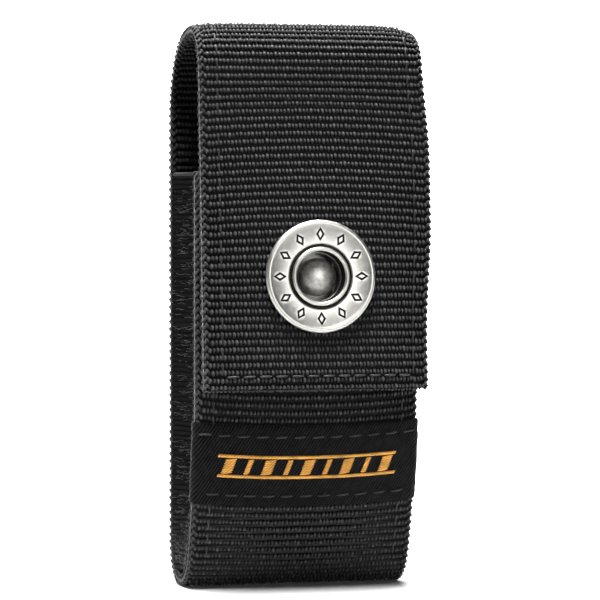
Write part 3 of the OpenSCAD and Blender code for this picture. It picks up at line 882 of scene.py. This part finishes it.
LABEL_TOP_Z, LABEL_LOW_Z = 37.4 * MM, 19.6 * MM
LABEL_TOP_S, LABEL_LOW_S = s_at(LABEL_TOP_Z), s_at(LABEL_LOW_Z)
LABEL_MID = (LABEL_TOP_S + LABEL_LOW_S) / 2
LABEL_T, LABEL_LIFT = 0.35 * MM, 0.1 * MM
LABEL_HALF = HALF_W - 1.35 * MM
LABEL_WRAP = 2.4 * MM                        # cloth that is turned round each edge
LABEL_SEAM = 2.4 * MM                        # from the long edges in to the stitches


def on_label(x, s, t):
    return place(x, s, t, LABEL_HALF)


def label():
    deselect()
    long_side = 2 * (LABEL_HALF + LABEL_WRAP)
    bpy.ops.mesh.primitive_grid_add(x_subdivisions=150, y_subdivisions=44, size=1,
                                    location=(0, -LABEL_MID, LABEL_LIFT + LABEL_T))
    patch = added("label")
    patch.scale = (long_side, LABEL_LOW_S - LABEL_TOP_S, 1)
    apply_place(patch)
    flat = coordinates(patch)
    edge = np.minimum(flat[:, 1] + LABEL_LOW_S, -LABEL_TOP_S - flat[:, 1])
    flat[:, 2] += 0.06 * MM * np.sin(flat[:, 0] * 700) * np.sin(flat[:, 1] * 1100)
    flat[:, 2] -= 0.12 * MM * np.exp(-((edge - LABEL_SEAM) / (0.5 * MM)) ** 2)
    flat[:, 2] -= 0.10 * MM * ease(1 - edge / (0.5 * MM))
    set_coordinates(patch, flat)
    wall = patch.modifiers.new("thickness", "SOLIDIFY")
    wall.thickness, wall.offset = LABEL_T, -1
    apply_modifiers(patch)
    return smooth(lay(patch, laid_by=on_label), 80)


def label_paint():
    paint = Paint("black twill label")
    cloth = paint.node("ShaderNodeAttribute", {"attribute_name": "cloth"}, {}, "Vector")
    twill = paint.node("ShaderNodeTexWave", {"bands_direction": "DIAGONAL"},
                       {"Vector": paint.stretched(cloth, (1, 0.6, 0)), "Scale": 900,
                        "Distortion": 1.0, "Detail": 1, "Detail Scale": 6}, "Fac")
    shade = paint.noise(cloth, 500, 2)
    paint.set(Base_Color=paint.ramp(twill * 0.5 + shade * 0.5,
                                    [(0.3, (0.0004, 0.0004, 0.0004)), (0.75, (0.014, 0.014, 0.015))]),
              Roughness=0.6, Normal=paint.bump(twill, 1.0, 0.14 * MM), Specular_IOR_Level=0.06)
    return paint.material


patch = dress(label(), label_paint())
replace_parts(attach(patch, "pocket"), "label_patch")
LABEL_LOW_S - LABEL_TOP_S
print("label", round((LABEL_LOW_S - LABEL_TOP_S) / MM, 1), "mm high,", tris(patch), "triangles")

# %% [markdown]
# The motif is a plain border pattern: slanted bars between two rules, in satin stitch, where
# threads lie side by side and fill a shape. A raised slab would look like plastic, so a strand
# is made for each bar and copied down it.

# %% Satin stitch
MOTIF_W, MOTIF_H, RULE_H = 40 * MM, 5.2 * MM, 0.75 * MM
BAR_H = MOTIF_H - 4 * RULE_H + 1.1 * MM      # a bar's ends go a little under the rules
BARS, SLANT, BAR_TILT = 9, 0.35, 0.12
WIDE_BAR, NARROW_BAR = 0.62, 0.3             # shares of a bar's room
STRAND_LIFT = LABEL_LIFT + LABEL_T + 0.05 * MM


def satin(width, height, x, s, tilt, name):
    """A filled shape of parallel threads, each as wide as the shape and stacked down it."""
    strand_pitch = 0.4 * MM
    strand = thread(width, 0.44 * MM, 0.42 * MM, 8, 6)
    strand.data.transform(Matrix.Rotation(RIGHT_ANGLE + tilt, 4, "Z"))
    count = max(2, round(height / strand_pitch))
    strands = []
    for i in range(count):
        down = (i + 0.5) / count * height - height / 2
        strands.append(copy_of(strand, name, (x - SLANT * down, -(s + down), STRAND_LIFT)))
    bpy.data.objects.remove(strand)
    return strands


motif_parts = []
for bar in range(BARS):
    share = WIDE_BAR if bar % 2 == 0 else NARROW_BAR
    bar_x = -MOTIF_W / 2 + MOTIF_W / BARS * (bar + 0.5)
    motif_parts += satin(MOTIF_W / BARS * share, BAR_H, bar_x, LABEL_MID, BAR_TILT, "bar")
rule_strand = thread(RULE_H * 1.15, 0.42 * MM, 0.34 * MM, 8, 6)
rule_strand.data.transform(Matrix.Rotation(-0.45, 4, "Z"))
for side in (-1, 1):
    for x in np.arange(-MOTIF_W / 2, MOTIF_W / 2 + 0.1 * MM, 0.36 * MM):
        spot = (x, -(LABEL_MID + side * (MOTIF_H - RULE_H) / 2), STRAND_LIFT)
        motif_parts.append(copy_of(rule_strand, "rule", spot))
bpy.data.objects.remove(rule_strand)
motif = smooth(joined("label_motif_thread", motif_parts), 80)
dress(lay(motif, laid_by=on_label), gold_thread)
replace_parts(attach(motif, "pocket"), "label_motif")

label_rows = [(x * MM, LABEL_TOP_S + LABEL_SEAM) for x in np.arange(-23.1, 23.2, 4.2)]
label_rows += [(x * MM, LABEL_LOW_S - LABEL_SEAM) for x in np.arange(-21.0, 23.2, 4.2)]
label_stitches = stitch_row(label_rows, 2.9 * MM, 0.42 * MM, LABEL_LIFT + LABEL_T,
                            across=True, tilt=0.07)
label_stitches.name = "label_stitches"
dress(lay(label_stitches, laid_by=on_label), black_thread)
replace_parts(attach(label_stitches, "pocket"), "label_stitching")
print("motif parts", len(motif_parts), "triangles", tris(motif))

# %% [markdown]
# ## Belt loop
# The loop is a narrower and thicker webbing, sewn to the back at both ends with a box and a
# cross of stitches, and bowed out in between so that a belt passes behind it. The same weaving
# serves, laid on a route of its own: flat, out, straight down, back in and flat again.

# %% Weave the belt loop
loop_low, loop_high = low_high("belt_loop")
LOOP_HALF, LOOP_T, LOOP_GAP = loop_high[0], 1.6 * MM, 5.4 * MM
LOOP_TAB, LOOP_TURN = 11 * MM, math.radians(62)
bend_r = 3.5 * MM + LOOP_T / 2
slope = (LOOP_GAP - 2 * bend_r * (1 - math.cos(LOOP_TURN))) / math.sin(LOOP_TURN)
bend_rise = 2 * bend_r * math.sin(LOOP_TURN) + slope * math.cos(LOOP_TURN)
open_len = loop_high[2] - loop_low[2] - 2 * LOOP_TAB - 2 * bend_rise
LOOP_RUNS = [(LOOP_TAB, 0), (bend_r * LOOP_TURN, -LOOP_TURN), (slope, 0),
             (bend_r * LOOP_TURN, LOOP_TURN), (open_len, 0), (bend_r * LOOP_TURN, LOOP_TURN),
             (slope, 0), (bend_r * LOOP_TURN, -LOOP_TURN), (LOOP_TAB, 0)]
LOOP_START = (-0.1 * MM - LOOP_T / 2, loop_low[2], RIGHT_ANGLE)
LOOP_END = run_ends(LOOP_RUNS)[-1]


def on_loop(x, s, t):
    d, z, heading = along(s, LOOP_START, LOOP_RUNS)
    out = LOOP_T / 2 + t
    return np.stack([-x, BACK_Y - d + np.sin(heading) * out, z + np.cos(heading) * out], axis=-1)


loop_ribs = int(LOOP_END / PITCH)
loop = webbing("belt_loop_cloth", 0, loop_ribs, 0, loop_ribs * PITCH, 6, 6, LOOP_HALF, LOOP_T, 14)
dress(lay(loop, laid_by=on_loop), loop_black)
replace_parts(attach(loop, "pocket"), "belt_loop")


def box_and_cross(middle_s, name, node):
    """Stitches round a sewn-down end and from corner to corner."""
    wide, tall = 2 * LOOP_HALF - 6 * MM, LOOP_TAB - 3.5 * MM
    corners = [(-1, -1), (1, -1), (1, 1), (-1, 1), (-1, -1), (1, 1), (1, -1), (-1, 1)]
    ends_at = [np.array((cx * wide / 2, middle_s + cy * tall / 2)) for cx, cy in corners]
    threads = []
    for a, b in zip(ends_at, ends_at[1:]):
        way = b - a
        count = max(1, round(np.linalg.norm(way) / (3.1 * MM)))
        one = thread(min(2.5 * MM, 0.85 * np.linalg.norm(way) / count), 0.5 * MM, 0.5 * MM)
        one.data.transform(Matrix.Rotation(math.atan2(way[0], way[1]), 4, "Z"))
        for i in range(count):
            x, s = a + way * (i + 0.5) / count
            threads.append(copy_of(one, "box stitch", (x, -s, 0.14 * MM)))
        bpy.data.objects.remove(one)
    sewn = smooth(joined(name, threads), 80)
    dress(lay(sewn, laid_by=on_loop), black_thread)
    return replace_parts(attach(sewn, "pocket"), node)


box_and_cross(LOOP_TAB / 2, "loop_stitches_bottom", "loop_stitching_bottom")
box_and_cross(LOOP_END - LOOP_TAB / 2, "loop_stitches_top", "loop_stitching_top")
print("belt loop", tris(loop), "triangles, stitched at both ends")

# %% [markdown]
# ## Ring snap
# The snap is a silver ring and eyelet on the flap, a socket behind it and a domed stud on the
# pocket. Cylinders with bevels would miss the rolled rims, so each part is turned: a profile is
# drawn as (radius, height) and spun round. The ring and its eyelet sit on the leaning flap, and
# the stud stands upright on the pocket.

# %% Turned parts
def arc(centre, radius, a0, a1, count=10):
    """Points of an arc, with angles in degrees, as (radius, height) pairs in millimetres."""
    angles = [math.radians(a0 + (a1 - a0) * i / count) for i in range(count + 1)]
    return [(centre[0] + radius * math.cos(a), centre[1] + radius * math.sin(a)) for a in angles]


def turned(name, profile, steps=128, closed=True):
    """Spins a profile round z; a profile that isn't closed starts and ends on the axis."""
    count = len(profile)
    edges = [(i, i + 1) for i in range(count - 1)] + ([(count - 1, 0)] if closed else [])
    mesh = bpy.data.meshes.new(name)
    mesh.from_pydata([(r * MM, 0, h * MM) for r, h in profile], edges, [])
    made = bpy.data.objects.new(name, mesh)
    bpy.context.scene.collection.objects.link(made)
    spun = made.modifiers.new("spin", "SCREW")
    spun.steps = spun.render_steps = steps
    spun.use_merge_vertices, spun.merge_threshold = True, 1e-6
    apply_modifiers(made)
    edit_all(made)
    bpy.ops.mesh.normals_make_consistent(inside=False)
    bpy.ops.object.mode_set(mode="OBJECT")
    return smooth(made, 35)


def set_on(piece, origin, tilt):
    """Puts a part that was made round +z on a face at origin, tilt from facing forward."""
    piece.data.transform(Matrix.Translation(origin) @ Matrix.Rotation(RIGHT_ANGLE - tilt, 4, "X"))
    return piece


flap_spot = Vector(place(np.zeros(1), np.array([SNAP_S]), np.zeros(1))[0])
stud_low, stud_high = low_high("snap_stud")
SEAT = 0.05 * MM
STUD_BASE = Vector((0, stud_high[1], (stud_low[2] + stud_high[2]) / 2))
print("snap centre", [round(v / MM, 2) for v in flap_spot])

# %% [markdown]
# The ring's face carries a generic border of stamped lozenge outlines, cut with a boolean, so
# the walls of the stamping are real and hold a darker patina.

# %% Metals
def metal_paint(name, dark, light, rough, spots, depth, scale=900):
    paint = Paint(name)
    where = paint.node("ShaderNodeTexCoord", {}, {}, "Object")
    grain_noise = paint.noise(where, 7000, 2, 0.6)
    cloud = paint.noise(where, scale, 4, 0.65)
    tone = cloud * spots + grain_noise * (1 - spots)
    paint.set(Base_Color=paint.ramp(tone, [(0.3, dark), (0.62, light)]), Metallic=1.0,
              Roughness=cloud * 0.2 + (rough - 0.1),
              Normal=paint.bump(grain_noise * 0.6 + cloud * 0.4, depth, 0.04 * MM))
    return paint.material


satin_silver = metal_paint("satin silver", (0.60, 0.585, 0.545), (0.80, 0.785, 0.74), 0.38, 0.45,
                           0.25)
# The dark material is patina in the stamping and painted shade in the recess round the hole.
stamping_patina_and_recess_shade = metal_paint("dark stamping and recess shade", (0.012, 0.012, 0.011), (0.05, 0.048, 0.045), 0.6,
                             0.5, 0.4)
antique_silver = metal_paint("antique silver", (0.42, 0.412, 0.39), (0.93, 0.915, 0.87), 0.42,
                             0.7, 0.5, 1300)
dull_steel = metal_paint("dull steel", (0.26, 0.255, 0.245), (0.40, 0.39, 0.375), 0.4, 0.5, 0.3)
RING_R, RIM_R = 12.25, 0.75
ring_profile = ([(6.0, 0.0)] + arc((RING_R - RIM_R, RIM_R), RIM_R, -90, 118, 18)
                + [(10.75, 1.19), (7.4, 0.91)] + arc((7.35, 0.55), 0.35, 80, 180, 5)
                + [(7.0, 0.12), (6.0, 0.12)])
MARKS = 12


# %% Stamp the ring
def lozenge(radial, wide):
    """A flat four-sided cutter, long along x."""
    deselect()
    bpy.ops.mesh.primitive_cylinder_add(vertices=4, radius=1, depth=2 * MM)
    made = added("lozenge")
    made.scale = (radial / 2, wide / 2, 1)
    return apply_place(made)


def paint_recess_shade(piece, within, below):
    """Paints faces nearer the axis than `within` and lower than `below` with the dark material, a
    painted shade for the recess round the hole.
    """
    piece.data.materials.append(stamping_patina_and_recess_shade)
    for face in piece.data.polygons:
        x, y, z = face.center
        if math.hypot(x, y) < within * MM and z < below * MM:
            face.material_index = 1


def stamped_ring():
    ring = turned("snap_ring_silver", ring_profile, 160)
    ring.data.materials.append(satin_silver)
    # Painted shade: the ring's inner lip round the hole gets the dark material.
    paint_recess_shade(ring, 7.05, 0.6)
    cutters = []
    for mark in range(MARKS):
        outline, island = lozenge(3.1 * MM, 2.0 * MM), lozenge(1.5 * MM, 0.8 * MM)
        wall = outline.modifiers.new("island", "BOOLEAN")
        wall.operation, wall.solver, wall.object = "DIFFERENCE", "EXACT", island
        island.scale.z = 2
        apply_modifiers(outline)
        bpy.data.objects.remove(island)
        turn = Matrix.Rotation(2 * math.pi * mark / MARKS, 4, "Z")
        outline.data.transform(turn @ Matrix.Translation((9.15 * MM, 0, 1.83 * MM)))
        cutters.append(outline)
    stamp = joined("stamp", cutters)
    stamp.data.materials.clear()
    stamp.data.materials.append(stamping_patina_and_recess_shade)
    cut = ring.modifiers.new("stamp", "BOOLEAN")
    cut.operation, cut.solver, cut.object, cut.material_mode = ("DIFFERENCE", "EXACT", stamp,
                                                                "TRANSFER")
    apply_modifiers(ring)
    bpy.data.objects.remove(stamp)
    return smooth(ring, 35)


ring = set_on(stamped_ring(), flap_spot, FLAP_LEAN)
ring.data.transform(Matrix.Translation((0, -SEAT, 0)))
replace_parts(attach(ring, "flap"), "snap_ring")
print("ring", tris(ring), [m.name for m in ring.data.materials])

# %% [markdown]
# The other parts need no stamping. The eyelet's rim rolls over the hole's edge, the socket holds
# the wire spring, and the stud's cap is part of a sphere, so that its highlight is round.

# %% Eyelet, socket and stud
eyelet_profile = ([(5.9, -2.6), (5.5, -2.6)] + arc((5.95, 1.1), 0.45, 180, -50, 16) + [(5.9, 0.7)])
SOCKET_BACK = 2.933 * MM                     # how far the socket sits behind the flap's face
socket_profile = [(5.2, -1.25)] + arc((8.3, -0.95), 0.3, -90, 0, 5) + [
    (8.6, -0.15), (8.45, 0.0), (5.4, 0.0), (5.4, 1.25), (5.35, 1.3), (5.25, 1.3), (5.2, 1.25),
    (5.2, -0.25), (6.35, -0.25), (6.35, -0.95), (5.2, -0.95)]
NECK, HEAD, STUD_R, DOME = 3.53, 1.8, 4.1, 1.6
head_z = NECK + HEAD
dome_r = (STUD_R ** 2 + DOME ** 2) / (2 * DOME)
dome_edge = math.degrees(math.asin((dome_r - DOME) / dome_r))
stud_profile = ([(0, 0), (3.5, 0), (3.5, NECK), (3.85, NECK + 0.2), (4.05, NECK + 0.45),
                 (STUD_R, NECK + 0.7), (STUD_R, head_z - 0.25)]
                + arc((STUD_R - 0.2, head_z - 0.2), 0.2, 0, 45, 3)
                + arc((0, head_z + DOME - dome_r), dome_r, dome_edge + 3, 90, 14))
stud_profile[-1] = (0, stud_profile[-1][1])
for name, profile, back, metal, node in (
        ("snap_eyelet_silver", eyelet_profile, 0, satin_silver, "snap_eyelet"),
        ("snap_socket_steel", socket_profile, SOCKET_BACK, dull_steel, "snap_socket")):
    made = dress(turned(name, profile), metal)
    if node == "snap_eyelet":
        # Painted shade: the eyelet's inside wall gets the dark material, so the hole's recess is
        # black.
        paint_recess_shade(made, 5.6, 0.75)
    made.data.transform(Matrix.Translation((0, 0, SEAT - back)))
    set_on(made, flap_spot, FLAP_LEAN)
    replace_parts(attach(made, "flap"), node)
stud = dress(turned("snap_stud_silver", stud_profile, closed=False), antique_silver)
set_on(stud, STUD_BASE, 0)
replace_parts(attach(stud, "pocket"), "snap_stud")
# The flange gets dull steel rather than silver, partly as painted shade for the recess round the
# stud; the rivet and spring are dull steel too.
for node in ("stud_flange", "stud_rivet", "snap_spring"):
    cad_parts[node].data.materials.clear()
    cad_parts[node].data.materials.append(dull_steel)
print("stud", [round(v / MM, 2) for v in STUD_BASE])

# %% [markdown]
# ## Studio
# The main light is small and high, in front and a little to the left, so that it catches the
# tops of the grains and leaves the grooves black. A weak card lights the metal from the front.
# Two lamps and a floor lamp, with narrow spreads, turn the paper white and keep off the cloth.
# The paper itself is grey, and darker towards the camera, because a white one in front throws
# light up into the lower grooves and greys the black.

# %% Backdrop
SHEET_WIDE, SHEET_LONG, SHEET_NEAR = 8, 7, -2.5
SWEEP_Y, SWEEP_R = 1.2, 0.5                  # where the sheet starts to curve up, and its radius


def backdrop():
    """A grey sheet, darker towards the camera, that curves up behind the sheath."""
    deselect()
    bpy.ops.mesh.primitive_grid_add(x_subdivisions=2, y_subdivisions=60, size=1)
    sheet = added("backdrop")
    points = coordinates(sheet)
    run = (points[:, 1] + 0.5) * SHEET_LONG + SHEET_NEAR
    bend = np.clip((run - SWEEP_Y) / SWEEP_R, 0, RIGHT_ANGLE)
    past = np.maximum(0, run - SWEEP_Y - SWEEP_R * RIGHT_ANGLE)
    y = np.minimum(run, SWEEP_Y) + SWEEP_R * np.sin(bend)
    z = SWEEP_R * (1 - np.cos(bend)) + past
    set_coordinates(sheet, np.stack([points[:, 0] * SHEET_WIDE, y, z], axis=-1))
    paper = Paint("grey paper")
    where = paper.node("ShaderNodeTexCoord", {}, {}, "Object")
    back = paper.node("ShaderNodeSeparateXYZ", {}, {0: where}, "Y") * 12 + 1.4
    paper.set(Base_Color=paper.ramp(back, [(0.0, (0.10, 0.10, 0.10)), (1.0, (0.5, 0.5, 0.5))]),
              Roughness=0.85)
    sheet.data.materials.append(paper.material)
    smooth(sheet, 60)


# %% Lamps
LAMPS = {                                    # place, aim, size, power and spread in degrees
    "key": ((-0.12, -0.26, 1.02), (0, 0, 0.07), 0.30, 26, 180),
    "card": ((0.24, -1.0, 0.19), (0, 0, 0.07), 0.42, 2.4, 180),
    "backdrop left": ((-1.3, 0.35, 0.9), (-0.3, 1.7, 0.3), 1.0, 60, 80),
    "backdrop right": ((1.3, 0.35, 0.9), (0.3, 1.7, 0.3), 1.0, 60, 80),
    "floor": ((0.0, 0.7, 1.5), (0, 0.75, 0), 1.2, 50, 50),
}


def studio():
    backdrop()
    world = bpy.data.worlds.new("studio")
    bpy.context.scene.world = world
    world.use_nodes = True
    world.node_tree.nodes["Background"].inputs[0].default_value = (1, 1, 1, 1)
    world.node_tree.nodes["Background"].inputs[1].default_value = 0.03
    for name, (spot, target, size, power, spread) in LAMPS.items():
        lamp = bpy.data.lights.new(name, "AREA")
        lamp.size, lamp.energy, lamp.spread = size, power, math.radians(spread)
        holder = bpy.data.objects.new(name, lamp)
        holder.location = spot
        aim = Vector(target) - Vector(spot)
        holder.rotation_euler = aim.to_track_quat("-Z", "Y").to_euler()
        bpy.context.scene.collection.objects.link(holder)


studio()
bpy.context.scene.view_settings.view_transform = "Standard"
print("lamps", list(LAMPS))

# %% [markdown]
# The camera stands a little to the left of the front, about 0.7 m away and level with the snap,
# with a long lens, so that the sheath's sides stay nearly parallel.

# %% Camera
AZIMUTH, EYE_Z, REACH = math.radians(-15), 82.5 * MM, 0.73
AIM = Vector((1.1 * MM, 0, 63.6 * MM))


def camera():
    lens = bpy.data.cameras.new("camera")
    lens.sensor_width, lens.lens = 36, 197
    holder = bpy.data.objects.new("camera", lens)
    holder.location = (REACH * math.sin(AZIMUTH), -REACH * math.cos(AZIMUTH), EYE_Z)
    holder.rotation_euler = (AIM - holder.location).to_track_quat("-Z", "Y").to_euler()
    bpy.context.scene.collection.objects.link(holder)
    bpy.context.scene.camera = holder


camera()
print("camera", round(REACH, 2), "m away,", round(math.degrees(AZIMUTH)), "degrees round")
